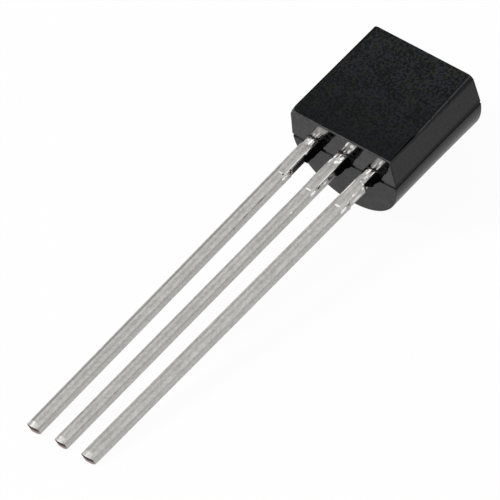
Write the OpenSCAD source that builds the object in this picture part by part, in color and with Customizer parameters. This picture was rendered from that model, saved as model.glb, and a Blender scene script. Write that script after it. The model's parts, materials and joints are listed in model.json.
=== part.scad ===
// TO-92 through-hole transistor: moulded half-round body, three tinned leads, and the lead frame
// posts, chip and bond wires that the moulding seals in.
//
// Each piece is drawn standing up: X runs along the row of leads, -Y is the flat front, +Z is the
// closed end of the body, and the leads leave the body at z = 0. resting() then lays the part on
// its round back with the flat front up, touching the ground with the body's rear edge and the
// three lead tips.

/* [Body] */
// Height of the body at the parting plane
body_h = 4.45; // [4.3:0.05:4.7]
// Width of the front half at the parting plane, at the lead end
body_w_low = 4.45; // [4.42:0.01:4.6]
// Width of the front half at the parting plane, at the closed end
body_w_top = 4.49; // [4.42:0.01:4.6]
// Distance from the flat front to the parting plane
front_depth = 1.25; // [1.1:0.05:1.4]
// Width across the flat front at the lead end, over the rounded sides
flat_w_low = 4.27; // [4.1:0.01:4.4]
// Width across the flat front at the closed end, over the rounded sides
flat_w_top = 4.22; // [4.1:0.01:4.4]
// Rounding of the two upright front edges at the lead end
edge_r_low = 0.07; // [0.04:0.01:0.2]
// Rounding of the two upright front edges at the closed end
edge_r_top = 0.24; // [0.04:0.01:0.3]
// Radius of the round back at the lead end
back_r_low = 2.19; // [2.1:0.005:2.23]
// Radius of the round back at the closed end
back_r_top = 2.245; // [2.1:0.005:2.25]
// How far in front of the parting plane the axis of the round back lies
back_axis = 0.04; // [0.01:0.01:0.2]
// Draft of each end face, as a rise over the full depth of the back half
back_rise = 0.05; // [0.01:0.01:0.12]
// Draft of the lead end over the depth of the front half
front_rise = 0.05; // [0.01:0.01:0.1]

/* [Ejector mark] */
// Diameter of the ejector pin mark on the round back
ejector_d = 1.5; // [1:0.1:1.6]
// Depth of the mark along its middle
ejector_depth = 0.2; // [0.15:0.01:0.3]

/* [Leads] */
// Distance between neighbouring leads where they leave the body
lead_pitch = 1.27; // [1.2:0.01:1.3]
// Width of a lead, seen from the front
lead_w = 0.44; // [0.38:0.01:0.55]
// Thickness of a lead, which is the thickness of the lead frame sheet
lead_t = 0.36; // [0.34:0.01:0.42]
// Length of a lead outside the body
lead_len = 14.5; // [8:0.1:15]
// Plastic between the back of the leads and the parting plane
lead_set_back = 0.06; // [0.02:0.01:0.1]
// Sideways lean of the emitter lead at its tip
emitter_lean = -0.03; // [-0.3:0.01:0.3]
// Sideways lean of the base lead at its tip
base_lean = -0.14; // [-0.3:0.01:0.3]
// Sideways lean of the collector lead at its tip
collector_lean = -0.25; // [-0.3:0.01:0.3]

/* [Lead details] */
// Length of the chamfer that the shear leaves on the front of each tip
tip_chamfer = 0.25; // [0.1:0.01:0.4]
// Depth of that chamfer
tip_chamfer_d = 0.06; // [0.02:0.01:0.12]
// Slope of the cut face: how much shorter the back of the lead is than the front
tip_slope = 0.09; // [0:0.01:0.2]
// Distance from the body to the near side of the trimmed dam bar
dam_start = 1.42; // [1.2:0.02:1.8]
// Width of the dam bar
dam_w = 0.44; // [0.3:0.02:0.6]
// How far each trimmed stub stands out of the lead's side
dam_stub = 0.02; // [0.01:0.01:0.06]

/* [Flash] */
// Length of the moulding flash beside the emitter lead
emitter_flash = 0.79; // [0.4:0.01:1]
// Length of the moulding flash beside the base lead
base_flash = 0.7; // [0.4:0.01:1]
// Length of the moulding flash beside the collector lead
collector_flash = 0.62; // [0.4:0.01:1]
// Thickness of the flash, measured out from the lead's side
flash_t = 0.07; // [0.03:0.01:0.12]

/* [Inside] */
// Side of the square chip
die_side = 0.7; // [0.5:0.05:0.8]
// Thickness of the chip
die_t = 0.2; // [0.15:0.01:0.25]
// Thickness of the layer that holds the chip down
attach_t = 0.03; // [0.02:0.01:0.05]
// Diameter of the bond wires
wire_d = 0.05; // [0.03:0.005:0.06]
// Diameter of the ball or stitch at each end of a bond wire
bond_d = 0.14; // [0.12:0.01:0.18]
// Height of the ball or stitch
bond_h = 0.05; // [0.04:0.01:0.06]

/* [Hidden] */

plastic = [0.11, 0.115, 0.12];
tin = [0.70, 0.69, 0.67];
silicon = [0.32, 0.33, 0.38];
solder = [0.55, 0.55, 0.56];
gold = [0.85, 0.65, 0.25];

round_fn = 96;
small_fn = 32;
skin = 0.01;        // thickness of the thin plates that span the front half
reach = 10;         // longer than any piece, for cutting shapes

// Lead frame, front and back faces
frame_back = -lead_set_back;
frame_front = frame_back - lead_t;
emitter_x = -lead_pitch;
base_x = 0;
collector_x = lead_pitch;

// Posts, paddle and chip, as seen from the front: [x from, x to, z from, z to]
emitter_post = [-1.62, -0.5, 1.75, 2.45];
base_post = [-0.36, 0.36, 0.75, 1.3];
paddle = [-0.15, 1.72, 1.75, 3.45];
die_at = [0.62, 2.6];
die_front = frame_front - attach_t - die_t;

// Bond wires: [x, z] where each leaves the chip and lands on its post
emitter_pad = [0.5, 2.7];
emitter_land = [-0.95, 2.1];
base_pad = [0.6, 2.42];
base_land = [0.05, 1.02];
wire_bow = 0.62;    // arc radius of a bond wire over the distance that it spans

// Side view of the round back: its depth at both ends, and how steeply its length and its ends lean
depth_low = back_r_low - back_axis;
depth_top = back_r_top - back_axis;
back_lean = (depth_top - depth_low) / body_h;
end_lean = back_rise / depth_top;
heel_depth = depth_low / (1 - back_lean * end_lean);
crown_depth = depth_top / (1 + back_lean * end_lean);

// Points of the side view that the part rests on, as [y, z] standing up
rest_heel = [heel_depth, end_lean * heel_depth];
rest_toe = [frame_back, -(lead_len - tip_slope)];
tilt = atan((rest_heel[0] - rest_toe[0]) / (rest_heel[1] - rest_toe[1]));

// Where a standing point [y, z] comes to after lying down, before the part is set on the ground
function laid_y(p) = p[1] * cos(tilt) + p[0] * sin(tilt);
function laid_z(p) = p[1] * sin(tilt) - p[0] * cos(tilt);
far_end = laid_y([crown_depth, body_h - end_lean * crown_depth]);
tip_end = laid_y([frame_front + tip_chamfer_d, -lead_len]);

module resting() {
    translate([0, -(far_end + tip_end) / 2, -laid_z(rest_heel)])
        rotate([tilt - 90, 0, 0])
            children();
}

// Sheet of the lead frame: a front view outline given as [x, z], as thick as the frame
module frame_sheet() {
    translate([0, frame_back, 0])
        rotate([90, 0, 0])
            linear_extrude(lead_t)
                children();
}

module patch(p) {
    translate([p[0], p[2]])
        square([p[1] - p[0], p[3] - p[2]]);
}

// ---- moulded body ----

// The two rounded upright edges of the flat front at one height
module front_edges(w, r, z) {
    for (side = [-1, 1])
        translate([side * (w / 2 - r), r - front_depth, z])
            cylinder(skin, r = r, $fn = small_fn);
}

// Front half: square ends, rounded upright edges and drafted sides, up to the parting plane
module front_half() {
    hull() {
        front_edges(flat_w_low, edge_r_low, front_rise);
        front_edges(flat_w_top, edge_r_top, body_h - skin);
        rotate([90, 0, 0])
            linear_extrude(skin)
                polygon([[-body_w_low / 2, 0], [body_w_low / 2, 0],
                         [body_w_top / 2, body_h], [-body_w_top / 2, body_h]]);
    }
}

// Round back, slightly wider at the closed end, with both end faces sloping in from the parting plane
module back_half() {
    intersection() {
        translate([0, -back_axis, 0])
            cylinder(body_h, r1 = back_r_low, r2 = back_r_top, $fn = round_fn);
        rotate([90, 0, 90])
            linear_extrude(reach, center = true)
                polygon([[0, 0], [depth_top, back_rise],
                         [depth_top, body_h - back_rise], [0, body_h]]);
    }
}

// Flat-bottomed round mark that the ejector pin leaves on the curved back
module ejector_mark() {
    translate([0, (depth_low + depth_top) / 2 - ejector_depth, body_h / 2])
        rotate([-90, 0, 0])
            cylinder(reach, d = ejector_d, $fn = round_fn);
}

// Film of plastic that squeezed out beside a lead, with a rounded lower end
module flash(x, len) {
    from = x + lead_w / 4;
    to = x + lead_w / 2 + flash_t;
    tip_r = lead_t / 2;
    translate([from, frame_front, tip_r - len])
        cube([to - from, lead_t, len]);
    translate([from, frame_front + tip_r, tip_r - len])
        rotate([0, 90, 0])
            cylinder(to - from, r = tip_r, $fn = round_fn);
}

module moulded_body() {
    color(plastic)
        difference() {
            union() {
                front_half();
                back_half();
                flash(emitter_x, emitter_flash);
                flash(base_x, base_flash);
                flash(collector_x, collector_flash);
            }
            ejector_mark();
            emitter_lead();
            base_lead();
            collector_lead();
            die_attach();
            transistor_die();
            emitter_bond_wire();
            base_bond_wire();
        }
}

// ---- leads ----

// Side view of a lead: sheared tip with a chamfered front and a sloping cut
module tip_profile() {
    rotate([90, 0, 90])
        linear_extrude(reach, center = true)
            polygon([[frame_front, reach], [frame_front, tip_chamfer - lead_len],
                     [frame_front + tip_chamfer_d, -lead_len],
                     [frame_back, tip_slope - lead_len], [frame_back, reach]]);
}

// Outside part of a lead: a leaning strip with the stubs of the trimmed dam bar
module shank(x, lean) {
    dam_end = dam_start + dam_w;
    dam_x = lean * dam_start / lead_len;
    intersection() {
        frame_sheet()
            translate([x, 0]) {
                polygon([[-lead_w / 2, 0], [lead_w / 2, 0],
                         [lead_w / 2 + lean, -lead_len], [-lead_w / 2 + lean, -lead_len]]);
                translate([dam_x - lead_w / 2 - dam_stub, -dam_end])
                    square([lead_w + 2 * dam_stub, dam_w]);
            }
        tip_profile();
    }
}

// Inside part of a lead up to height top, with a waist that keys it into the plastic
module root(x, top) {
    waist = lead_w / 6;
    frame_sheet()
        translate([x, 0])
            difference() {
                translate([-lead_w / 2, 0])
                    square([lead_w, top]);
                for (side = [-1, 1])
                    translate([side * lead_w / 2, top - 2.5 * waist])
                        circle(waist, $fn = small_fn);
            }
}

module emitter_lead() {
    color(tin)
        union() {
            shank(emitter_x, emitter_lean);
            root(emitter_x, emitter_post[2]);
            frame_sheet()
                patch(emitter_post);
        }
}

module base_lead() {
    color(tin)
        union() {
            shank(base_x, base_lean);
            root(base_x, base_post[2]);
            frame_sheet()
                patch(base_post);
        }
}

module collector_lead() {
    color(tin)
        union() {
            shank(collector_x, collector_lean);
            root(collector_x, paddle[2]);
            frame_sheet()
                patch(paddle);
        }
}

// ---- chip and bond wires ----

module die_attach() {
    color(solder)
        translate([die_at[0] - die_side / 2, frame_front - attach_t, die_at[1] - die_side / 2])
            cube([die_side, attach_t, die_side]);
}

module transistor_die() {
    color(silicon)
        translate([die_at[0] - die_side / 2, die_front, die_at[1] - die_side / 2])
            cube([die_side, die_t, die_side]);
}

// Ball or stitch standing on the face at y = face, at [x, z]
module bond(at, face) {
    translate([at[0], face, at[1]])
        rotate([90, 0, 0])
            cylinder(bond_h, d = bond_d, $fn = small_fn);
}

// Bond wire: one circular arc from the chip's face to the post's face, in the plane that holds both
module bond_wire(pad, land) {
    span = norm(land - pad);
    turn = atan2(land[1] - pad[1], land[0] - pad[0]);
    lift = bond_h / 2 + wire_d / 8;
    drop = frame_front - die_front;
    chord = norm([span, drop]);
    arc_r = wire_bow * chord;
    sink = sqrt(arc_r * arc_r - chord * chord / 4);
    slope = atan2(-drop, span);
    half = asin(chord / 2 / arc_r);
    bond(pad, die_front);
    bond(land, frame_front);
    translate([pad[0], die_front - lift, pad[1]])
        rotate([0, -turn, 0])
            rotate([180, 0, 0])
                rotate([0, 0, slope])
                    translate([chord / 2, -sink, 0])
                        rotate([0, 0, 90 - half])
                            rotate_extrude(angle = 2 * half, $fn = round_fn)
                                translate([arc_r, 0])
                                    circle(d = wire_d, $fn = small_fn);
}

module emitter_bond_wire() {
    color(gold)
        bond_wire(emitter_pad, emitter_land);
}

module base_bond_wire() {
    color(gold)
        bond_wire(base_pad, base_land);
}

resting() moulded_body();
resting() emitter_lead();
resting() base_lead();
resting() collector_lead();
resting() die_attach();
resting() transistor_die();
resting() emitter_bond_wire();
resting() base_bond_wire();
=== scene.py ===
import json
import math

import bmesh
import bpy
from mathutils import Matrix, Vector, noise


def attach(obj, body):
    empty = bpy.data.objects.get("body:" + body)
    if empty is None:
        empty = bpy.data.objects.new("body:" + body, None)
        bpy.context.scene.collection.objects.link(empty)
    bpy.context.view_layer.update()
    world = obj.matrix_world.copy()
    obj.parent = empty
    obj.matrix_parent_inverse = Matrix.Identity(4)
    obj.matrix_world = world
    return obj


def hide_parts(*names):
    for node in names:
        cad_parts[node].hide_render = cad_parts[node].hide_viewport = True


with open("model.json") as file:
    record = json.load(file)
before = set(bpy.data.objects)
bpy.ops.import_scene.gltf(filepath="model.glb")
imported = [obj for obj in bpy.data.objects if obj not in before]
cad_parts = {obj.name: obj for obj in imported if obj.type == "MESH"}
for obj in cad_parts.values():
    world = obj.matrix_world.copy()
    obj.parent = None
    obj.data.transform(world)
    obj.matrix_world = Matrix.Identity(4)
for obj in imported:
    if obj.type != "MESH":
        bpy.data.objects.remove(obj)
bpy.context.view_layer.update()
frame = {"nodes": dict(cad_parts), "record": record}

mm = 0.001

# Every piece is drawn standing up, in millimetres, and laid down at the end: X runs along the row of
# leads, -Y points out of the flat front, +Z to the closed end, and the leads leave the body at z = 0.

seamSetBack = 0.06  # plastic between the back of the leads and the parting plane


def boxInPart(node, toPart):
    # the lowest and highest corner of a CAD node, seen from another frame
    spots = [toPart @ vertex.co for vertex in frame["nodes"][node].data.vertices]
    low = Vector([min(spot[i] for spot in spots) for i in range(3)])
    high = Vector([max(spot[i] for spot in spots) for i in range(3)])
    return low, high


def findPartFrame():
    # the row's mount lies halfway through the lead sheet, so the sheet itself leads to the parting plane
    mounts = {mount["name"]: mount for mount in frame["record"]["mounts"]}
    toBack = -Vector(mounts["flat_front"]["axis"])
    toTop = -Vector(mounts["lead_row"]["axis"])
    axes = Matrix((toBack.cross(toTop), toBack, toTop)).transposed()
    inSheet = Matrix.LocRotScale(Vector(mounts["lead_row"]["pos_m"]), axes, Vector((mm, mm, mm)))
    low, high = boxInPart("base_lead", inSheet.inverted())
    return inSheet @ Matrix.Translation((0, seamSetBack + (high.y - low.y) / 2, 0)), axes


partFrame, partAxes = findPartFrame()
toPart = partFrame.inverted()
bodyLow, bodyHigh = boxInPart("moulded_body", toPart)
leadLow, leadHigh = boxInPart("base_lead", toPart)  # all three are as thick and as long
print("part frame found, body", [round(size, 3) for size in bodyHigh - bodyLow])


def blend(first, second, share):
    return first + (second - first) * share


def smooth(low, high, value):
    # 0 below low and 1 above high, with a soft rise between
    t = min(max((value - low) / (high - low), 0), 1)
    return t * t * (3 - 2 * t)


def window(low, high, soft, value):
    # 1 between low and high, with soft ends
    return smooth(low - soft, low + soft, value) * (1 - smooth(high - soft, high + soft, value))


def ripple(x, y, z, size, shift=0):
    # smooth noise from about -1 to 1, with waves of about the given size
    return noise.noise(Vector((x, y, z)) / size + Vector((shift, shift * 1.7, shift * 0.6)))


def spread(low, high, gap):
    # even places about a gap apart, from low to just short of high
    count = max(1, round((high - low) / gap))
    return [blend(low, high, i / count) for i in range(count)]


leastRadius = 0.002  # what an inset leaves of a rounded corner


def roundedOutline(corners, radii, inset=0, turns=5, fills=(6, 6, 6, 6)):
    # a convex outline drawn anticlockwise, as (x, y, outward x, outward y): each corner turns in so many
    # steps, and the side after it is divided into so many fills
    count = len(corners)
    spots = [Vector(corner) for corner in corners]
    along = [(spots[(i + 1) % count] - spots[i]).normalized() for i in range(count)]
    arcs = []
    for i in range(count):
        out = Vector((along[i - 1].y, -along[i - 1].x))
        nextOut = Vector((along[i].y, -along[i].x))
        corner = spots[i] - (out + nextOut) * inset / (1 + out.dot(nextOut))
        radius = max(radii[i] - inset, leastRadius)
        bend = along[i - 1].angle(along[i])
        centre = corner - along[i - 1] * radius * math.tan(bend / 2) - out * radius
        arc = []
        for k in range(turns + 1):
            angle = math.atan2(out.y, out.x) + bend * k / turns
            facing = Vector((math.cos(angle), math.sin(angle)))
            arc.append((centre + facing * radius, facing))
        arcs.append(arc)
    ring = []
    for i, arc in enumerate(arcs):
        ring += arc
        start, facing = arc[-1]
        end = arcs[(i + 1) % count][0][0]
        ring += [(start.lerp(end, k / fills[i]), facing) for k in range(1, fills[i])]
    return [(spot.x, spot.y, facing.x, facing.y) for spot, facing in ring]


def quarterTurn(radius, steps=4):
    # rounding of an end: how far the outline is inset, and how far it has risen
    angles = [math.pi / 2 * k / steps for k in range(steps + 1)]
    return [(radius * (1 - math.sin(angle)), radius * (1 - math.cos(angle))) for angle in angles]


def objectFrom(mesh, name):
    # puts a mesh into the scene
    piece = bpy.data.objects.new(name, mesh)
    bpy.context.scene.collection.objects.link(piece)
    return piece


def meshFrom(rings, name):
    # skins a stack of rings that have the same number of points, and closes both ends
    work = bmesh.new()
    rows = [[work.verts.new(point) for point in ring] for ring in rings]
    count = len(rows[0])
    for lower, upper in zip(rows, rows[1:]):
        for i in range(count):
            j = (i + 1) % count
            work.faces.new((lower[i], lower[j], upper[j], upper[i]))
    work.faces.new(list(reversed(rows[0])))
    work.faces.new(rows[-1])
    mesh = bpy.data.meshes.new(name)
    work.to_mesh(mesh)
    work.free()
    return objectFrom(mesh, name)


def settle(piece):
    # applies the modifiers that a piece carries
    graph = bpy.context.evaluated_depsgraph_get()
    mesh = bpy.data.meshes.new_from_object(piece.evaluated_get(graph))
    old = piece.data
    piece.modifiers.clear()
    piece.data = mesh
    bpy.data.meshes.remove(old)
    return piece


def carve(piece, tools, operation):
    # joins the tools to the piece or cuts them out of it, and uses them up
    for tool in tools:
        step = piece.modifiers.new("carve", "BOOLEAN")
        step.object = tool
        step.operation = operation
        step.solver = "EXACT"
    settle(piece)
    for tool in tools:
        bpy.data.objects.remove(tool)
    return piece


def evenShading(piece, sharpFrom):
    # smooth shading, with creases that are sharper than the angle kept
    for face in piece.data.polygons:
        face.use_smooth = True
    with bpy.context.temp_override(object=piece, active_object=piece, selected_editable_objects=[piece],
                                   selected_objects=[piece]):
        bpy.ops.object.shade_smooth_by_angle(angle=math.radians(sharpFrom))
    step = piece.modifiers.new("even", "WEIGHTED_NORMAL")
    step.keep_sharp = True
    return settle(piece)


def handOver(piece, node):
    # lays a finished piece down where it stands for a CAD node
    piece.data.transform(partFrame)
    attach(piece, "root")
    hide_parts(node)


class Signal:
    # wraps an output socket, so that material maths reads as a formula
    def __init__(self, shade, socket):
        self.shade = shade
        self.socket = socket

    def other(self, name):
        # another output of the same node
        return Signal(self.shade, self.socket.node.outputs[name])

    def math(self, operation, first, second):
        return self.shade.node("Math", {"operation": operation}, {0: first, 1: second})

    def __add__(self, value):
        return self.math("ADD", self, value)

    def __sub__(self, value):
        return self.math("SUBTRACT", self, value)

    def __rsub__(self, value):
        return self.math("SUBTRACT", value, self)

    def __mul__(self, value):
        return self.math("MULTIPLY", self, value)

    __radd__ = __add__
    __rmul__ = __mul__


class Shade:
    # one node tree, of a material or of the world
    def __init__(self, tree):
        self.tree = tree

    def node(self, kind, settings=None, inputs=None, out=0):
        made = self.tree.nodes.new("ShaderNode" + kind)
        for name, value in (settings or {}).items():
            setattr(made, name, value)
        for name, value in (inputs or {}).items():
            self.feed(made.inputs[name], value)
        return Signal(self, made.outputs[out]) if made.outputs else made

    def feed(self, entry, value):
        if isinstance(value, Signal):
            self.tree.links.new(value.socket, entry)
        elif entry.type == "RGBA":
            entry.default_value = (*value, 1)
        else:
            entry.default_value = value

    def step(self, value, low, high):
        # 0 below low and 1 above high, with a soft rise between
        return self.node("MapRange", {"interpolation_type": "SMOOTHSTEP"},
                         {"Value": value, "From Min": low, "From Max": high})

    def band(self, value, low, high, soft):
        # 1 between low and high, with soft ends
        return self.step(value, low - soft, low + soft) * (1 - self.step(value, high - soft, high + soft))

    def colour(self, mask, first, second):
        return self.node("Mix", {"data_type": "RGBA"}, {0: mask, 6: first, 7: second}, out=2)

    def grain(self, where, size, detail=2, stretch=(1, 1, 1)):
        # noise with features of about the given size in millimetres
        scaled = self.node("VectorMath", {"operation": "MULTIPLY"}, {0: where, 1: stretch})
        return self.node("TexNoise", {}, {"Vector": scaled, "Scale": 1 / size, "Detail": detail})


class Finish(Shade):
    # a material, with what is the same all over it set on the shader's own sockets
    def __init__(self, name, constants):
        self.material = bpy.data.materials.new(name)
        self.material.use_nodes = True
        super().__init__(self.material.node_tree)
        self.shader = self.tree.nodes["Principled BSDF"]
        for entry, value in constants.items():
            self.shader.inputs[entry].default_value = value

    def partPoint(self):
        # the point being shaded, in millimetres in the part's own frame
        return self.node("Mapping", {"vector_type": "TEXTURE"},
                         {"Vector": self.node("TexCoord", out="Object"),
                          "Location": partFrame.to_translation(), "Rotation": partFrame.to_euler(),
                          "Scale": (mm, mm, mm)})

    def split(self, where):
        # the x, y and z of a point
        first = self.node("SeparateXYZ", {}, {0: where})
        return first, first.other("Y"), first.other("Z")

    def painted(self, name):
        # a value that the mesh carries at its points
        return self.node("Attribute", {"attribute_name": name}, out="Fac")

    def wear(self, colour, roughness, height, depth, metallic=None):
        # joins what changes over the surface to the shader; depth is the relief's, in millimetres
        self.feed(self.shader.inputs["Base Color"], colour)
        self.feed(self.shader.inputs["Roughness"], roughness)
        if metallic is not None:
            self.feed(self.shader.inputs["Metallic"], metallic)
        bump = self.node("Bump", {}, {"Height": height, "Distance": depth * mm, "Strength": 1})
        self.feed(self.shader.inputs["Normal"], bump)
        return self.material


# the mould's finishes: a spark-eroded flat, satin sides, polished ends and the black film in its seams,
# with painted highlights on the lip and edges and painted shade along the parting line and on the flat's
# left edge
mould = {
    "flatDark": (0.0016, 0.0018, 0.0022), "flatBlue": (0.0180, 0.0215, 0.0275),
    "flatGreen": (0.0225, 0.0240, 0.0190), "flatSpecular": 0.07,
    "edgeDark": (0.0026, 0.0027, 0.0031), "edgeOuter": (0.0100, 0.0100, 0.0106),
    "edgeHighlight": (0.052, 0.053, 0.056), "edgeSheen": (0.0260, 0.0262, 0.0270), "edgeSpecular": 0.11,
    "sideDark": (0.0036, 0.0038, 0.0043), "sideLight": (0.0112, 0.0115, 0.0121),
    "sideSpecular": 0.185, "backSpecular": 0.115,
    "endDark": (0.0004, 0.0004, 0.0008), "endLight": (0.0170, 0.0166, 0.0182),
    "endSpecular": 0.262, "backEndSpecular": 0.128,
    "lipDark": (0.032, 0.032, 0.034), "lipLight": (0.060, 0.060, 0.063), "lipSpecular": 0.20,
    "seamInner": (0.041, 0.040, 0.042), "seamDark": (0.0205, 0.0202, 0.0212),
    "seamLight": (0.0230, 0.0232, 0.0240), "seamSpecular": 0.065,
    "filmShadeDark": (0.0012, 0.0012, 0.0013), "filmShadeLight": (0.0048, 0.0044, 0.0042), "filmShadeSpecular": 0.02,
}


def flatFinish():
    # bluish and greenish flecks on black, brighter towards the closed end
    finish = Finish("grained flat", {"Specular IOR Level": mould["flatSpecular"]})
    where = finish.partPoint()
    fine = finish.grain(where, 0.06, detail=3)
    fleck = finish.grain(where, 0.095, detail=1)
    cloud = finish.grain(where, 0.5, detail=2)
    hue = finish.step(finish.grain(where, 0.20, detail=3), 0.42, 0.58)
    z = finish.split(where)[2]
    tone = finish.step(0.25 * fine + 0.55 * fleck + 0.20 * cloud, 0.42, 0.58) * (0.24 + 0.16 * z)
    light = finish.colour(hue, mould["flatBlue"], mould["flatGreen"])
    return finish.wear(finish.colour(tone, mould["flatDark"], light), 0.42 + 0.18 * cloud,
                       height=0.5 * fine + 0.5 * fleck, depth=0.005)


# on the rounded upright edges, in millimetres out from the part's middle: a painted highlight line on the
# upper part, which leans inwards with height, and below it a black line beside a lighter strip of painted
# sheen;
# upperFrom and darkLineUpTo are heights
edgeSheenAndLines = {"upperFrom": (1.3, 1.7), "lean": 0.030, "line": (2.125, 2.167, 0.012), "outer": (2.16, 2.18),
            "darkLine": (2.050, 2.100, 0.008), "darkLineUpTo": (1.3, 1.5), "sheenStrip": (2.09, 2.105)}


def edgeFinish():
    finish = Finish("rounded edge", {"Specular IOR Level": mould["edgeSpecular"]})
    where = finish.partPoint()
    x, _, z = finish.split(where)
    fleck = finish.grain(where, 0.2, detail=3)
    fromMiddle = finish.node("Math", {"operation": "ABSOLUTE"}, {0: x})
    leaning = fromMiddle + edgeSheenAndLines["lean"] * z
    upper = finish.step(z, *edgeSheenAndLines["upperFrom"])
    # painted highlight: a light line along the upper part of the edge
    line = finish.band(leaning, *edgeSheenAndLines["line"]) * upper * finish.step(fleck, 0.28, 0.46)
    outer = finish.step(leaning, *edgeSheenAndLines["outer"])
    darkLine = finish.band(fromMiddle, *edgeSheenAndLines["darkLine"])
    darkLine = darkLine * (1 - finish.step(z, *edgeSheenAndLines["darkLineUpTo"]))
    # painted sheen: a lighter strip outside the black line, standing in for the side's reflected light
    sheenStrip = finish.step(fromMiddle, *edgeSheenAndLines["sheenStrip"])
    low = finish.colour(sheenStrip, mould["edgeDark"], mould["edgeSheen"])
    low = finish.colour(darkLine, low, mould["filmShadeDark"])
    high = finish.colour(outer, mould["edgeDark"], mould["edgeOuter"])
    high = finish.colour(line, high, mould["edgeHighlight"])
    return finish.wear(finish.colour(upper, low, high), 0.45 + 0.1 * fleck, metallic=darkLine,
                       height=fleck, depth=0.002)


def sideFinish(name, shine):
    finish = Finish(name, {"Specular IOR Level": mould[shine]})
    where = finish.partPoint()
    fine = finish.grain(where, 0.09, detail=3)
    cloud = finish.grain(where, 0.8)
    return finish.wear(finish.colour(finish.step(fine, 0.42, 0.58), mould["sideDark"], mould["sideLight"]),
                       0.26 + 0.10 * cloud, height=fine, depth=0.002)


def endFinish(name, shine):
    finish = Finish(name, {"Specular IOR Level": mould[shine]})
    where = finish.partPoint()
    fine = finish.grain(where, 0.11, detail=3)
    cloud = finish.grain(where, 0.7)
    tone = finish.step(0.6 * fine + 0.4 * cloud, 0.40, 0.60)
    return finish.wear(finish.colour(tone, mould["endDark"], mould["endLight"]),
                       0.05 + 0.08 * cloud, height=cloud + 0.02 * fine, depth=0.004)


def lipFinish():
    # partly the key's real glint off the rounded lead-end edge, partly a painted highlight in the lip's
    # light base tones
    finish = Finish("lip with painted highlight", {"Specular IOR Level": mould["lipSpecular"]})
    fine = finish.grain(finish.partPoint(), 0.12, detail=3)
    return finish.wear(finish.colour(finish.step(fine, 0.35, 0.65), mould["lipDark"], mould["lipLight"]),
                       0.45 + 0.1 * fine, height=fine, depth=0.002)


# the strips beside the parting line are painted with shade towards it, with a ragged start, and are darker
# outside
seamShade = {"from": (-0.155, -0.105), "ragged": 0.16, "outside": (1.82, 2.02)}


def seamFinish():
    finish = Finish("seam", {"Specular IOR Level": mould["seamSpecular"]})
    where = finish.partPoint()
    x, y, _ = finish.split(where)
    fine = finish.grain(where, 0.08, detail=3, stretch=(1, 1, 0.5))
    # painted shade along the parting line, darkest towards it
    darkened = finish.step(y + seamShade["ragged"] * (fine - 0.5), *seamShade["from"])
    colour = finish.colour(darkened, mould["seamLight"], mould["seamDark"])
    outer = finish.step(finish.node("Math", {"operation": "ABSOLUTE"}, {0: x}), *seamShade["outside"])
    return finish.wear(finish.colour(outer, mould["seamInner"], colour), 0.5 + 0.1 * fine,
                       height=fine, depth=0.003)


def filmAndShadeFinish():
    # black resin film beside the leads, also used as painted shade on the flat's left edge
    finish = Finish("black film and painted shade", {"Specular IOR Level": mould["filmShadeSpecular"]})
    fine = finish.grain(finish.partPoint(), 0.05, detail=3)
    return finish.wear(finish.colour(finish.step(fine, 0.45, 0.7), mould["filmShadeDark"], mould["filmShadeLight"]),
                       0.6 + 0.2 * fine, height=fine, depth=0.006)


# drawn tin plating: the bands and faces of painted sheen, and the grey rims of painted dark reflection
# along its edges, are places round the lead from the middle of its front; rimsUpTo, rustFrom and glossFrom
# are heights
plating = {"specular": 0.1,
           "dull": (0.325, 0.318, 0.305), "bright": (0.535, 0.524, 0.504), "rim": (0.17, 0.168, 0.162),
           "sootAndShade": (0.030, 0.024, 0.022), "rust": (0.075, 0.030, 0.022), "highlightTone": (0.90, 0.89, 0.87),
           "leftBand": (-0.110, -0.020, 0.03), "rightBand": (0.095, 0.255, 0.035),
           "leftFace": (-0.21, -0.18), "rightFace": (0.29, 0.35),
           "leftRim": (-0.170, -0.118, 0.018), "rightRim": (0.255, 0.300, 0.012),
           "rimsUpTo": (-1.50, -1.40), "rustFrom": (-0.25, -0.15), "glossFrom": (-0.60, -0.45)}


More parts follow.
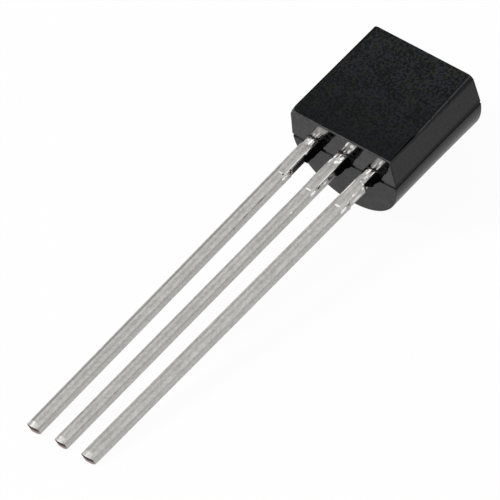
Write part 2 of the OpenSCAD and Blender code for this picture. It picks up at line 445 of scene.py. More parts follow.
def platingFinish():
    # streaks along the lead, soft mottling, bands of painted sheen, a rim of painted dark reflection, and
    # the marks
    # that the mesh carries: painted highlights, and darkening that is painted reflection, painted shade and
    # dark marks
    finish = Finish("tin plating", {"Specular IOR Level": plating["specular"]})
    where = finish.partPoint()
    across = finish.painted("across")
    sootAndShade = finish.painted("sootAndShade")
    highlight = finish.painted("highlight")
    rimShaded = finish.painted("rimShaded")
    rusty = finish.painted("rusty")
    z = finish.split(where)[2]
    below = 1 - finish.step(z, *plating["rimsUpTo"])
    streak = finish.grain(where, 0.040, detail=3, stretch=(1, 1, 0.08))
    fine = finish.grain(where, 0.065, detail=2, stretch=(1, 1, 0.6))
    patch = finish.grain(where, 0.30, detail=4, stretch=(1, 1, 0.5))
    # painted sheen: bands across the front and the side faces painted brighter
    paintedSheen = finish.band(across, *plating["leftBand"]) + finish.band(across, *plating["rightBand"])
    paintedSheen = paintedSheen + 0.85 * finish.step(across, *plating["rightFace"])
    paintedSheen = paintedSheen + 0.6 * (1 - finish.step(across, *plating["leftFace"]))
    tone = 0.38 * finish.step(fine, 0.38, 0.62) + 0.10 * finish.step(streak, 0.38, 0.62)
    tone = tone + 0.14 * finish.step(patch, 0.40, 0.60) + 0.38 * paintedSheen
    colour = finish.colour(tone, plating["dull"], plating["bright"])
    # painted dark reflection: a grey rim along the left edge below the dam bar, and a faint one along the
    # right
    rim = finish.band(across, *plating["leftRim"]) * below * rimShaded * (0.45 + 0.5 * patch)
    rim = rim + 0.04 * finish.band(across, *plating["rightRim"]) * below
    colour = finish.colour(rim, colour, plating["rim"])
    lump = finish.grain(where, 0.12, detail=2, stretch=(1, 1, 0.45))
    # painted highlights where the mesh carries them, with a little less roughness there
    highlit = finish.step(highlight + 0.3 * (lump - 0.5), 0.22, 0.72)
    colour = finish.colour(highlit, colour, plating["highlightTone"])
    # darkening where the mesh carries it, turning rust-coloured near the body on rusty leads
    darkened = finish.step(sootAndShade + 0.5 * (lump - 0.5), 0.30, 0.68)
    hue = finish.step(z, *plating["rustFrom"]) * rusty
    colour = finish.colour(darkened, colour, finish.colour(hue, plating["sootAndShade"], plating["rust"]))
    gloss = 0.11 * finish.step(z, *plating["glossFrom"]) + 0.08 * highlit
    return finish.wear(colour, 0.32 + 0.12 * patch - gloss, metallic=1 - 0.75 * darkened,
                       height=0.45 * streak + 0.30 * fine + 0.25 * patch, depth=0.006)


# torn copper, which is brighter at the back, where the shear came out
torn = {"specular": 0.2, "dark": (0.034, 0.023, 0.021), "copper": (0.085, 0.055, 0.048),
        "bright": (0.42, 0.34, 0.33), "brightFrom": (-0.27, -0.13), "ragged": 0.04}


def shearedFinish():
    finish = Finish("sheared end", {"Specular IOR Level": torn["specular"]})
    where = finish.partPoint()
    y = finish.split(where)[1]
    tear = finish.grain(where, 0.05, detail=3, stretch=(1, 0.3, 1))
    colour = finish.colour(finish.step(tear, 0.4, 0.6), torn["dark"], torn["copper"])
    behind = finish.step(y + torn["ragged"] * tear, *torn["brightFrom"])
    return finish.wear(finish.colour(behind, colour, torn["bright"]), 0.55 + 0.2 * tear,
                       metallic=0.3 * tear, height=tear, depth=0.01)


bodyFinishes = [sideFinish("satin side", "sideSpecular"), sideFinish("satin back", "backSpecular"),
                flatFinish(), endFinish("polished end", "endSpecular"),
                endFinish("polished back end", "backEndSpecular"),
                edgeFinish(), lipFinish(), seamFinish(), filmAndShadeFinish()]
sideSlot, backSlot, flatSlot, endSlot, backEndSlot, edgeSlot, lipSlot, seamSlot, filmAndShadeSlot = range(9)
platingMade = platingFinish()
shearedMade = shearedFinish()
print("finishes made")


leadShape = {
    "width": 0.44, "edge": 0.03, "pitch": 1.27, "sharpFrom": 40,
    "fills": (18, 12, 6, 8),  # divisions of the front, right, back and left
    "wavy": 0.0018, "lumps": 0.011, "lumpsFrom": -0.36,  # drawn metal, torn where it leaves the body
    "damNear": -1.42, "damFar": -1.86, "stub": 0.004, "stubRough": 0.012,  # what the dam bar left
    "beyondDamFrom": (-1.50, -1.42), "leftPinchFrom": (-0.42, -0.28), "rightPinchFrom": (-0.68, -0.58),
    # the sheared end slants and bows, and tipLift and tipThin keep it inside the CAD lead
    "tipZone": 0.45, "tipEdge": 0.02, "tipLift": 0.006, "tipThin": 0.006, "tipSlope": 0.045, "tipBow": 0.07,
    "endInsets": (0.17, 0.11, 0.06), "endUpTo": 0.14,
    # the rounded patch that the shear pressed down at the tip's front, placed in shares of the width
    "patchAt": 0.40, "patchHalf": 0.46, "patchLength": 0.24, "patchDepth": 0.055, "patchHighlight": 0.14,
    # the right face that takes painted dark reflection is a place round the lead; the ring of painted shade
    # where the lead meets the body and the painted highlights on its torn metal are heights
    "rightFace": (0.29, 0.33), "rootShadeRing": (-0.07, 0.1, 0.03), "rootHighlightZone": (-0.36, -0.06, 0.05),
    "padStep": 0.001,
}
# place is the lead's place in the row, lean how far its tip has sprung sideways, and padFrom the height
# where the pad inside the body begins; beyondDam is how much further out its sides stand past the dam bar,
# and pinch how much further in below the body, left and right; rimShaded and rusty tell how much painted
# dark rim and real rust show; the painted dark reflection of the body on the right face ends at
# darkReflectionTo and is as dark as darkReflectionDepth; a mark is (place round the lead from the middle of
# its front, height, half width, half length, tone), where the place runs on round the right side, and the
# tone is above 0 for a painted highlight and below for a dark one
leads = {
    "emitter": {"node": "emitter_lead", "place": -1, "lean": -0.03, "padFrom": 1.75, "seed": 3.1,
                "beyondDam": (0.0, 0.018), "pinch": (0.035, -0.022), "rimShaded": 1.0, "rusty": 0.15,
                "darkReflectionTo": -1.38, "darkReflectionDepth": 0.95,
                "marks": [(0.02, -0.17, 0.035, 0.14, 1), (-0.09, -0.12, 0.030, 0.07, 0.7),
                          (0.17, -0.14, 0.040, 0.20, -0.85), (-0.02, -0.02, 0.04, 0.04, -0.9),
                          (-0.12, -0.05, 0.03, 0.05, -0.8), (0.235, -0.98, 0.050, 0.85, 1),
                          (0.03, -1.725, 0.11, 0.030, 0.7), (0.31, -1.76, 0.085, 0.16, 1),
                          (0.156, -1.75, 0.03, 0.045, -0.9), (0.33, -1.45, 0.05, 0.09, -0.8),
                          (-0.10, -3.66, 0.05, 0.03, 0.5), (0.245, -3.10, 0.042, 0.46, -0.50),
                          (0.245, -3.80, 0.036, 0.35, -0.46), (0.27, -4.40, 0.030, 0.30, -0.42),
                          (0.26, -6.70, 0.030, 0.16, -0.44), (0.27, -7.00, 0.025, 0.12, -0.42)]},
    "base": {"node": "base_lead", "place": 0, "lean": -0.14, "padFrom": 0.75, "seed": 7.7,
             "beyondDam": (-0.020, 0.0), "pinch": (0.035, 0.0), "rimShaded": 0.35, "rusty": 1.0,
             "darkReflectionTo": -0.1, "darkReflectionDepth": 0.3,
             "marks": [(-0.15, -0.37, 0.035, 0.22, 1), (-0.04, -0.09, 0.06, 0.05, 0.8),
                       (0.03, -0.10, 0.030, 0.09, -0.8), (-0.08, -0.14, 0.030, 0.10, -0.7),
                       (0.13, -0.05, 0.060, 0.06, -0.7), (-0.10, -0.03, 0.10, 0.04, -0.8),
                       (0.10, -0.16, 0.045, 0.09, 0.8), (0.05, -0.40, 0.075, 0.085, 0.85),
                       (0.16, -0.33, 0.035, 0.10, 0.7), (0.215, -1.05, 0.028, 0.60, 0.9),
                       (0.29, -0.76, 0.035, 0.09, -0.85), (0.33, -1.00, 0.035, 0.06, -0.9),
                       (0.42, -0.93, 0.10, 0.17, -0.58), (0.38, -1.20, 0.08, 0.10, 0.6),
                       (0.28, -1.33, 0.035, 0.04, -0.8), (0.31, -1.50, 0.045, 0.08, -0.9),
                       (0.015, -1.79, 0.13, 0.034, 0.95), (0.30, -1.80, 0.080, 0.14, 1),
                       (0.20, -2.88, 0.040, 0.045, 1), (0.21, -2.25, 0.03, 0.04, 0.5),
                       (0.05, -4.36, 0.05, 0.06, -0.42), (0.18, -4.48, 0.030, 0.06, -0.48),
                       (0.19, -5.24, 0.028, 0.14, -0.44), (0.24, -6.42, 0.024, 0.20, -0.44),
                       (0.24, -11.92, 0.030, 0.13, -0.50)]},
    "collector": {"node": "collector_lead", "place": 1, "lean": -0.25, "padFrom": 1.75, "seed": 12.4,
                  "beyondDam": (0.012, 0.036), "pinch": (0.035, 0.050), "rimShaded": 0.30, "rusty": 0.1,
                  "darkReflectionTo": -0.1, "darkReflectionDepth": 0.3,
                  "marks": [(-0.14, -0.04, 0.05, 0.06, -0.9), (-0.02, -0.14, 0.030, 0.14, 1),
                            (0.06, -0.10, 0.025, 0.10, -0.7), (0.15, -0.16, 0.035, 0.14, 0.8),
                            (0.07, -0.03, 0.05, 0.05, -1), (0.06, -0.36, 0.06, 0.14, 0.6),
                            (0.225, -1.25, 0.024, 0.40, 0.6),
                            (-0.19, -0.86, 0.028, 0.66, 0.9), (0.04, -0.60, 0.05, 0.035, 0.7),
                            (0.15, -0.66, 0.05, 0.035, 0.8), (0.30, -0.76, 0.06, 0.06, 0.9),
                            (0.21, -0.69, 0.03, 0.03, -0.6), (0.20, -1.20, 0.038, 0.055, 1),
                            (0.45, -1.10, 0.06, 0.30, 0.6), (0.33, -1.53, 0.03, 0.09, -0.85),
                            (0.03, -1.82, 0.125, 0.036, 1), (0.34, -1.80, 0.080, 0.16, 1),
                            (0.00, -8.30, 0.030, 2.40, -0.37)]},
}


def leadStations(padFrom):
    # heights of the rings, closest where the lead changes most: where a zone begins, and the gap in it
    shape = leadShape
    tip = leadLow.z + shape["tipLift"]
    zones = [(tip + shape["tipEdge"], 0.02), (tip + shape["tipZone"], 0.12), (-4.8, 0.04),
             (shape["damFar"] - 0.2, 0.012), (shape["damNear"] + 0.2, 0.025), (-0.45, 0.010),
             (0.05, 0.1), (padFrom - 0.5, 0.02), (padFrom, 0)]
    stations = []
    for (low, gap), (high, _) in zip(zones, zones[1:]):
        stations += spread(low, high, gap)
    return stations + [padFrom]


def sootShadeAndHighlights(lead, x, y, z, across):
    # how dark and how bright a point below the body is painted: the darkening is painted dark reflection,
    # painted shade at the root and dark marks, the brightening painted highlights; a bright mark wipes the
    # darkening off
    seed = lead["seed"]
    ends = lead["darkReflectionTo"] - 0.25 * (across - 0.45)  # on a slant
    # painted dark reflection of the body on the right face, ending on a slant
    sootAndShade = lead["darkReflectionDepth"] * smooth(ends - 0.05, ends + 0.05, z) * smooth(*leadShape["rightFace"], across)
    # painted shade in a ragged ring where the lead meets the body
    sootAndShade = max(sootAndShade, 0.8 * window(*leadShape["rootShadeRing"], z) * (0.5 + 1.5 * ripple(x, y, z, 0.13, seed)))
    # painted highlights on the torn metal near the body
    highlight = (0.35 * window(*leadShape["rootHighlightZone"], z)
               * smooth(-0.05, 0.30, ripple(x, y, z * 0.30, 0.12, seed + 9)))
    for place, height, wide, long, tone in lead["marks"]:
        away = ((across - place) / wide) ** 2 + ((z - height) / long) ** 2
        strength = abs(tone) * math.exp(-away ** 2)
        if tone > 0:
            highlight = max(highlight, strength)
            sootAndShade *= 1 - strength
        else:
            sootAndShade = max(sootAndShade, strength)
    return sootAndShade, highlight


def makeLead(name, lead):
    shape = leadShape
    low, high = boxInPart(lead["node"], toPart)
    centre = lead["place"] * shape["pitch"]
    half = shape["width"] / 2
    waist = shape["width"] / 6  # radius of the round waist just before the pad
    near, far, tip = leadLow.y, leadHigh.y, leadLow.z + shape["tipLift"]
    seed = lead["seed"]
    rings, painted = [], []

    def placeAcross(x, y, outX, outY, middle):
        # distance round the lead from the middle of its front, to the right as positive
        if outY < -0.72:
            return min(max(x - middle, -half), half)
        if abs(outX) > 0.69:
            return math.copysign(half + y - near, outX)
        return math.copysign(half + far - near + 0.1, outX)

    def displacement(x, y, z, outX):
        # waviness of the drawn metal, torn lumps at the root, and the rough faces of the trimmed dam bar
        push = shape["wavy"] * ripple(x, y, z * 0.35, 0.28, seed)
        lumpy = shape["lumps"] * window(shape["lumpsFrom"], 0.02, 0.10, z)
        push += lumpy * (ripple(x, y, z * 0.30, 0.13, seed + 2) - 0.30)
        stub = window(shape["damFar"], shape["damNear"], 0.02, z)
        push += shape["stubRough"] * stub * abs(outX) * (ripple(x, y, z * 0.7, 0.05, seed + 4) - 0.35)
        return push

    def addRing(z, left, right, inset=0):
        middle = (left + right) / 2
        corners = [(left, near), (right, near), (right, far), (left, far)]
        ring = []
        for x, y, outX, outY in roundedOutline(corners, [shape["edge"]] * 4, inset, 4, shape["fills"]):
            push = displacement(x, y, z, outX) if z < 0 else 0
            offPatch = abs((x - left) / (right - left) - shape["patchAt"]) / shape["patchHalf"]
            patch = shape["patchLength"] * max(0.001, 1 - offPatch ** 2.5) ** 0.4
            inPatch = z < tip + patch
            if inPatch:
                push -= (shape["patchDepth"] * (1 - (z - tip) / patch) * smooth(0.1, 0.8, -outY)
                         * min(1, 4 * patch))
            across = placeAcross(x, y, outX, outY, middle)
            sootAndShade, highlight = sootShadeAndHighlights(lead, x, y, z, across) if z < 0 else (0, 0)
            # painted highlight on the patch that the shear pressed down
            if inPatch and outY < -0.5:
                highlight = max(highlight, shape["patchHighlight"])
            offMiddle = abs(x - middle) / (right - left) * 2
            bowed = shape["tipSlope"] + shape["tipBow"] * offMiddle ** 4
            towardsBack = (y - near) / (far - near) * (1 - smooth(tip, tip + shape["tipZone"], z))
            ring.append((x + push * outX, y + push * outY - shape["tipThin"] * towardsBack,
                         z + bowed * towardsBack))
            painted.append((across, sootAndShade, highlight, lead["rimShaded"], lead["rusty"]))
        rings.append(ring)

    def sway(z):
        # how far the lead has swung sideways at a height
        return lead["lean"] * min(z, 0) / tip

    leftMore, rightMore = lead["beyondDam"]
    for inset, rise in [(inset, 0) for inset in shape["endInsets"]] + quarterTurn(shape["tipEdge"])[:-1]:
        middle = centre + sway(tip + rise)
        addRing(tip + rise, middle - half - leftMore, middle + half + rightMore, inset)
    for z in leadStations(lead["padFrom"]):
        stub = shape["stub"] * window(shape["damFar"], shape["damNear"], 0.012, z)
        neckAt = lead["padFrom"] - 2.5 * waist
        neck = math.sqrt(max(0, waist ** 2 - (z - neckAt) ** 2)) if z > 0 else 0
        reach = half + stub - neck
        past = 1 - smooth(*shape["beyondDamFrom"], z)
        leftMore, rightMore = [more * past for more in lead["beyondDam"]]
        leftPinch = lead["pinch"][0] * smooth(*shape["leftPinchFrom"], z) if z < 0 else 0
        rightPinch = lead["pinch"][1] * smooth(*shape["rightPinchFrom"], z) if z < 0 else 0
        middle = centre + sway(z)
        addRing(z, middle - reach - leftMore + leftPinch, middle + reach + rightMore - rightPinch)
    for z in (lead["padFrom"] + shape["padStep"], high.z):
        addRing(z, low.x, high.x)
    piece = meshFrom(rings, name + "Lead")
    for index, key in enumerate(("across", "sootAndShade", "highlight", "rimShaded", "rusty")):
        layer = piece.data.attributes.new(key, "FLOAT", "POINT")
        layer.data.foreach_set("value", [values[index] for values in painted])
    piece.data.materials.append(platingMade)
    piece.data.materials.append(shearedMade)
    for face in piece.data.polygons:
        if face.center.z < tip + shape["endUpTo"] and face.normal.z < -0.35:
            face.material_index = 1
    return evenShading(piece, shape["sharpFrom"])


leadPieces = {name: makeLead(name, lead) for name, lead in leads.items()}
print("leads made,", sum(len(piece.data.vertices) for piece in leadPieces.values()), "points")


# flat and seam are half widths of the flat and at the parting line, edge is the radius of the upright edges
# and back that of the round back, each at the lead end (Low) and at the closed end (Top); the front's lead
# end slopes by frontRise and both ends of the back by backRise, and the back has sunk a little in between
bodyShape = {"flatLow": 2.135, "flatTop": 2.11, "seamLow": 2.225, "edgeLow": 0.07, "edgeTop": 0.24,
             "wornCorner": 0.16, "wornUpTo": 0.08,  # the low left corner is blunter, up to this share
             "lip": 0.02, "frontRise": 0.05, "lowRound": 0.045, "topRound": 0.015,
             "backLow": 2.19, "backTop": 2.245, "backAxis": 0.04, "backRise": 0.05, "backRound": 0.015,
             "sink": 0.018,
             # a groove runs along the parting line from seamAt back, and a core joins the halves behind it
             "seamAt": -0.065, "groove": 0.10, "grooveDepth": 0.02, "coreFrom": -0.2, "coreRound": 0.001,
             # frontShade and backShade are the widths of the strips of painted shade beside the parting
             # line
             "frontShade": 0.11, "backShade": 0.05, "shadeOutside": 2.0,  # strips beside the parting line
             "ejector": 1.5, "ejectorDepth": 0.2, "sharpFrom": 32}


def paint(piece, rule):
    # gives every face the slot that the rule names
    for finish in bodyFinishes:
        piece.data.materials.append(finish)
    for face in piece.data.polygons:
        face.material_index = rule(face)
    return piece


def frontHalf():
    shape = bodyShape
    top = bodyHigh.z

    def ring(share, inset, rise):
        # share runs from 0 at the lead end to 1 at the closed end
        flat = blend(shape["flatLow"], shape["flatTop"], share)
        seam = blend(shape["seamLow"], bodyHigh.x, share)
        edge = blend(shape["edgeLow"], shape["edgeTop"], share)
        wornOff = shape["wornCorner"] * max(0, 1 - share / shape["wornUpTo"]) ** 2
        back = shape["seamAt"]
        corners = [(-flat, bodyLow.y), (flat, bodyLow.y), (seam, back), (-seam, back)]
        radii = [edge + wornOff, edge, shape["lip"], shape["lip"]]
        outline = roundedOutline(corners, radii, inset, turns=8, fills=(4, 20, 4, 20))
        return [(x, y, blend(shape["frontRise"] * y / bodyLow.y, top, share) + rise)
                for x, y, _, _ in outline]

    rings = [ring(0, inset, rise) for inset, rise in quarterTurn(shape["lowRound"])]
    rings += [ring(share, 0, 0) for share in (0.02, 0.04, 0.06, 0.1, 0.2, 0.3, 0.4, 0.6, 0.8)]
    rings += [ring(1, inset, -rise) for inset, rise in reversed(quarterTurn(shape["topRound"]))]

    def rule(face):
        # the rounded lead-end edge of the front takes the lip finish, with its painted highlight
        if face.normal.z < -0.1 and face.normal.y < -0.1:
            return lipSlot
        if abs(face.normal.z) > 0.5:
            return endSlot
        # painted shade: the strip beside the parting line takes the seam finish
        darkened = face.center.y > shape["seamAt"] - shape["frontShade"]
        if darkened and abs(face.center.x) > shape["shadeOutside"]:
            return seamSlot
        if face.normal.y < -0.995:
            return flatSlot
        if face.center.x < 0 and face.normal.y < -0.75:
            return filmAndShadeSlot  # painted shade: the front of the left edge beside the flat takes the black film
        return edgeSlot if face.normal.y < -0.45 else sideSlot

    return paint(meshFrom(rings, "front half"), rule)


def roundBack(start, inset, roundOff, slot):
    # half-round block with sloping ends, from y = start to the back
    shape = bodyShape
    top = bodyHigh.z

    def ring(share, shrink, rise):
        # share runs from 0 at the lead end to 1 at the closed end
        radius = blend(shape["backLow"], shape["backTop"], share) - inset - shrink
        radius -= shape["sink"] * math.sin(math.pi * share)
        first = math.asin((start + shape["backAxis"]) / radius)
        points = []
        sides = 120
        for i in range(sides + 1):
            angle = blend(first, math.pi - first, i / sides)
            x, y = radius * math.cos(angle), radius * math.sin(angle) - shape["backAxis"]
            fromEnd = inset + shape["backRise"] * y / bodyHigh.y + rise
            points.append((x, y, blend(fromEnd, top - fromEnd, share)))
        return points

    rings = [ring(0, shrink, rise) for shrink, rise in quarterTurn(roundOff)]
    rings += [ring(share, 0, 0) for share in (0.1, 0.2, 0.35, 0.5, 0.65, 0.8, 0.9)]
    rings += [ring(1, shrink, rise) for shrink, rise in reversed(quarterTurn(roundOff))]

    def rule(face):
        # painted shade: the core in the groove and the strip beside the parting line take the seam finish
        darkened = face.center.y < start + shape["backShade"]
        if slot == seamSlot or darkened and abs(face.center.x) > shape["shadeOutside"]:
            return seamSlot
        return backEndSlot if abs(face.normal.z) > 0.5 else slot

    return paint(meshFrom(rings, "round back"), rule)


# a film of black resin stands beside each lead: reach is how far it comes down, off how far it stands off
# the lead's side, setBack how far its front edge lies behind the lead's front, and past how far its back
# edge stands behind the lead's back; foot widens it at the body, frontRound and backRound are the lengths
# over which its edges draw in to its end, meet is the share of its depth where they come together, and
# bluntness is 1 for a pointed end and 2 for a round one; leftFilm is the one on a lead's left side
films = {"emitter": {"reach": 0.765, "off": 0.030, "setBack": 0.115, "past": 0.035, "foot": 0.03,
                     "frontRound": 0.03, "backRound": 0.10, "meet": 0.5, "bluntness": 2},
         "base": {"reach": 0.70, "off": 0.0, "setBack": 0.05, "past": 0.015, "foot": 0.12,
                  "frontRound": 0.15, "backRound": 0.20, "meet": 0.45, "bluntness": 2},
         "collector": {"reach": 0.64, "off": -0.035, "setBack": 0.03, "past": 0.0, "foot": 0.12,
                       "frontRound": 0.02, "backRound": 0.26, "meet": 0.1, "bluntness": 1}}
leftFilm = {"beside": "collector", "seed": 5.2, "reach": 0.24, "off": -0.02, "setBack": 0.03, "past": -0.15,
            "foot": 0.0, "frontRound": 0.08, "backRound": 0.08, "meet": 0.5, "bluntness": 2}
filmShape = {"thick": 0.065, "inBody": 0.12, "inLead": 0.09, "endZone": 0.24, "endHalf": 0.03,
             "footZone": (0.02, 0.28), "corners": (0.02, 0.03, 0.03, 0.02),
             "waves": 0.20, "frontRagged": 0.012, "backRagged": 0.025, "thickRagged": 0.4}


def filmTab(centre, seed, film, toSide=1):
    # toSide is 1 on the lead's right and -1 on its left
    side = centre + leadShape["width"] / 2 + film["off"]
    near, far = leadLow.y + film["setBack"], leadHigh.y + film["past"]
    meet = blend(near, far, film["meet"])
    reach = film["reach"]

    def drawnIn(toEnd, roundOff):
        share = max(0, 1 - toEnd / roundOff)
        return share if film["bluntness"] == 1 else 1 - math.sqrt(1 - share ** 2)

    shape = filmShape
    depths = spread(-shape["inBody"], reach - shape["endZone"], 0.03)
    depths += spread(reach - shape["endZone"], reach, 0.012) + [reach]
    rings = []
    for depth in depths:
        front = near + shape["frontRagged"] * ripple(0, 2, depth, shape["waves"], seed)
        front = blend(front, meet - shape["endHalf"], drawnIn(reach - depth, film["frontRound"]))
        back = far + shape["backRagged"] * ripple(0, 0, depth, shape["waves"], seed)
        back += film["foot"] * (1 - smooth(*shape["footZone"], depth))
        back = blend(back, meet + shape["endHalf"], drawnIn(reach - depth, film["backRound"]))
        thicker = shape["thickRagged"] * ripple(0, 1, depth, shape["waves"], seed)
        left, right = side - shape["inLead"], side + shape["thick"] * (1 + thicker)
        corners = [(left, front), (right, front), (right, back), (left, back)]
        outline = roundedOutline(corners, shape["corners"])
        rings.append([(centre + toSide * (x - centre), y, -depth) for x, y, _, _ in outline[::toSide]])
    rings.reverse()
    return paint(meshFrom(rings, "film"), lambda face: filmAndShadeSlot)


# a thin web narrows from the film into the parting line: it starts at this share of the film's thickness
web = {"startsAt": 0.8, "inFilm": 0.02, "reach": 0.19, "flare": 0.20, "backFlare": 0.01, "curl": 1.6,
       "low": -0.008, "high": 0.05, "steps": 8}


def filmWeb(centre, film):
    edge = centre + leadShape["width"] / 2 + film["off"] + filmShape["thick"] * web["startsAt"]
    front, back = bodyShape["seamAt"], bodyShape["seamAt"] + bodyShape["groove"]
    shares = [k / web["steps"] for k in range(web["steps"] + 1)]
    wing = [(web["reach"] * share, (1 - share) ** web["curl"]) for share in shares]
    outline = [(x, front - web["flare"] * more) for x, more in wing]
    outline += [(x, back + web["backFlare"] * more) for x, more in reversed(wing)]
    rings = [[(edge + x - web["inFilm"], y, z) for x, y in outline] for z in (web["low"], web["high"])]
    return paint(meshFrom(rings, "web"), lambda face: filmAndShadeSlot)


# resin that climbs a little way down the lead: how deep each ring lies and how proud of the lead it stands
collar = {"profile": ((-0.1, 0.010), (0.0, 0.010), (0.010, 0.006), (0.022, -0.015)),
          "edge": 0.03, "waves": 0.07, "ragged": 1.6}


def rootCollar(centre, seed):
    half = leadShape["width"] / 2
    rings = []
    for depth, proud in collar["profile"]:
        left, right = centre - half - proud, centre + half + proud
        front, back = leadLow.y - proud, leadHigh.y + proud
        corners = [(left, front), (right, front), (right, back), (left, back)]
        ring = []
        for x, y, _, _ in roundedOutline(corners, [collar["edge"]] * 4, fills=(10, 8, 10, 8)):
            lower = 1 + collar["ragged"] * ripple(x, y, 0, collar["waves"], seed)
            ring.append((x, y, -depth * lower if depth > 0 else -depth))
        rings.append(ring)
    rings.reverse()
    # the collar takes the seam finish, with its painted shade
    return paint(meshFrom(rings, "collar"), lambda face: seamSlot)


def ejectorPin():
    # the mould's ejector pin, which leaves a shallow round mark in the middle of the back
    shape = bodyShape
    radius = shape["ejector"] / 2
    bottom = (shape["backLow"] + shape["backTop"]) / 2 - shape["backAxis"] - shape["ejectorDepth"]
    turn = [2 * math.pi * i / 64 for i in range(64)]
    rings = [[(radius * math.cos(angle), y, bodyHigh.z / 2 + radius * math.sin(angle)) for angle in turn]
             for y in (bodyHigh.y + 0.5, bottom)]
    return paint(meshFrom(rings, "pin"), lambda face: backSlot)


def makeBody():
    shape = bodyShape
    body = frontHalf()
    body.name = "mouldedBody"
    parts = [roundBack(shape["coreFrom"], shape["grooveDepth"], shape["coreRound"], seamSlot),
             roundBack(shape["seamAt"] + shape["groove"], 0, shape["backRound"], backSlot)]
    for name, lead in leads.items():
        centre = lead["place"] * leadShape["pitch"]
        parts += [filmTab(centre, lead["seed"], films[name]), filmWeb(centre, films[name]),
                  rootCollar(centre, lead["seed"])]
    centre = leads[leftFilm["beside"]]["place"] * leadShape["pitch"]
    parts.append(filmTab(centre, leftFilm["seed"], leftFilm, toSide=-1))
    carve(body, parts, "UNION")
    carve(body, [ejectorPin()], "DIFFERENCE")
    return evenShading(body, shape["sharpFrom"])


body = makeBody()
print("body made,", len(body.data.polygons), "faces")

for name, piece in leadPieces.items():
    handOver(piece, leads[name]["node"])
handOver(body, "moulded_body")

# the chip, its solder and the bond wires are sealed in, and keep their exact shapes
innerLooks = {
    "gold wire": {"dark": (0.78, 0.52, 0.16), "light": (0.90, 0.68, 0.30), "grain": 0.03,
                  "metallic": 1.0, "roughness": 0.2, "nodes": ("emitter_bond_wire", "base_bond_wire")},
    "soft solder": {"dark": (0.30, 0.30, 0.31), "light": (0.48, 0.48, 0.49), "grain": 0.08,
                    "metallic": 1.0, "roughness": 0.45, "nodes": ("die_attach",)},
    "silicon": {"dark": (0.07, 0.08, 0.11), "light": (0.14, 0.15, 0.20), "grain": 0.10,
                "metallic": 0.6, "roughness": 0.12, "nodes": ("transistor_die",)},
}


def finishInner(name, look):
    finish = Finish(name, {"Metallic": look["metallic"]})
    fine = finish.grain(finish.partPoint(), look["grain"])
    made = finish.wear(finish.colour(finish.step(fine, 0.35, 0.65), look["dark"], look["light"]),
                       look["roughness"] + 0.1 * fine, height=fine, depth=0.001)
    for node in look["nodes"]:
        inner = frame["nodes"][node]
        inner.data.materials.clear()
        inner.data.materials.append(made)


for name, look in innerLooks.items():
    finishInner(name, look)
print("inner pieces finished")


# lengths in metres
studio = {"floorSize": 0.5, "floorColour": (0.90, 0.90, 0.90), "floorSeenWhite": 0.95,
          "skyLight": 0.62, "skySeen": 1.0,
          "keyFrom": (-0.50, -0.48, 0.72), "keyDistance": 0.30, "keySize": 0.12, "keyRadiance": 13.0}


def seenDirectly(shade):
    # 1 for what the camera sees, straight or by way of metal, gloss or glass
    rays = shade.node("LightPath", out="Is Camera Ray")
    total = rays + rays.other("Is Glossy Ray") + rays.other("Is Transmission Ray")
    return shade.node("Math", {"operation": "MINIMUM"}, {0: total, 1: 1.0})


def makeFloor():
    half = studio["floorSize"] / 2
    corners = [(-half, -half, 0), (half, -half, 0), (half, half, 0), (-half, half, 0)]
    mesh = bpy.data.meshes.new("floor")
    mesh.from_pydata(corners, [], [(0, 1, 2, 3)])
    material = bpy.data.materials.new("pale floor")
    material.use_nodes = True
    shade = Shade(material.node_tree)
    shade.tree.nodes.clear()
    lit = shade.node("BsdfDiffuse", {}, {"Color": studio["floorColour"]})
    white = shade.node("Emission", {}, {"Color": (1, 1, 1), "Strength": 1.0})
    mask = seenDirectly(shade) * studio["floorSeenWhite"]
    shade.node("OutputMaterial", {}, {"Surface": shade.node("MixShader", {}, {0: mask, 1: lit, 2: white})})
    mesh.materials.append(material)
    objectFrom(mesh, "floor")


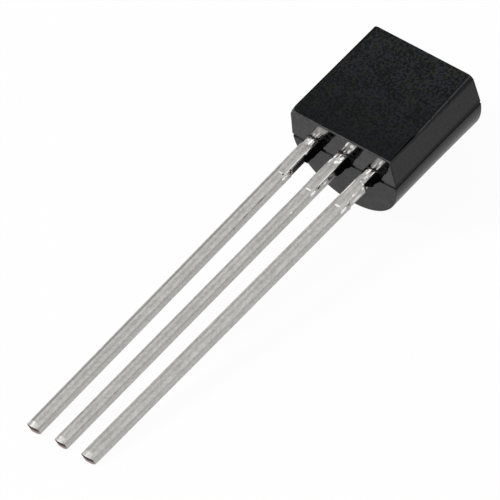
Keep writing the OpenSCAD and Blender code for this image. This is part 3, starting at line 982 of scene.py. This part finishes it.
def makeSky():
    world = bpy.data.worlds.new("studio")
    bpy.context.scene.world = world
    world.use_nodes = True
    shade = Shade(world.node_tree)
    shade.tree.nodes.clear()
    lights = shade.node("Background", {}, {"Color": (1, 1, 1), "Strength": studio["skyLight"]})
    seen = shade.node("Background", {}, {"Color": (1, 1, 1), "Strength": studio["skySeen"]})
    mixed = shade.node("MixShader", {}, {0: seenDirectly(shade), 1: lights, 2: seen})
    shade.node("OutputWorld", {}, {"Surface": mixed})


def makeKey():
    lamp = bpy.data.lights.new("key", "AREA")
    lamp.shape = "DISK"
    lamp.size = studio["keySize"]
    # the power that gives a disk this radiance
    lamp.energy = studio["keyRadiance"] * math.pi * math.pi * (studio["keySize"] / 2) ** 2
    holder = bpy.data.objects.new("key", lamp)
    bpy.context.scene.collection.objects.link(holder)
    direction = Vector(studio["keyFrom"]).normalized()
    holder.location = direction * studio["keyDistance"]
    holder.rotation_euler = direction.to_track_quat("Z", "Y").to_euler()
    holder.visible_camera = False


# the angles, the distance and the target are those of the standing part, in degrees and millimetres; lens
# and sensor are in the camera's own millimetres, and sees is its range in metres
cameraView = {"azimuth": 33.300, "elevation": -25.539, "roll": 44.057, "lens": 921.6, "sensor": 36,
              "distance": 419.883, "target": (-1.174, 1.405, -3.806), "sees": (0.01, 10)}


def makeCamera():
    azimuth, elevation, roll = [math.radians(cameraView[key]) for key in ("azimuth", "elevation", "roll")]
    outward = Vector((math.sin(azimuth) * math.cos(elevation), -math.cos(azimuth) * math.cos(elevation),
                      math.sin(elevation)))
    levelRight = Vector((0, 0, 1)).cross(outward).normalized()
    levelUp = outward.cross(levelRight)
    right = levelRight * math.cos(roll) + levelUp * math.sin(roll)
    up = levelUp * math.cos(roll) - levelRight * math.sin(roll)
    lens = bpy.data.cameras.new("camera")
    lens.lens = cameraView["lens"]
    lens.sensor_width = cameraView["sensor"]
    lens.clip_start, lens.clip_end = cameraView["sees"]
    camera = bpy.data.objects.new("camera", lens)
    bpy.context.scene.collection.objects.link(camera)
    place = partFrame @ (Vector(cameraView["target"]) + outward * cameraView["distance"])
    turned = partAxes @ Matrix((right, up, outward)).transposed()
    camera.matrix_world = Matrix.LocRotScale(place, turned, None)
    bpy.context.scene.camera = camera


makeFloor()
makeSky()
makeKey()
makeCamera()
bpy.context.scene.view_settings.view_transform = "Standard"
print("studio made")
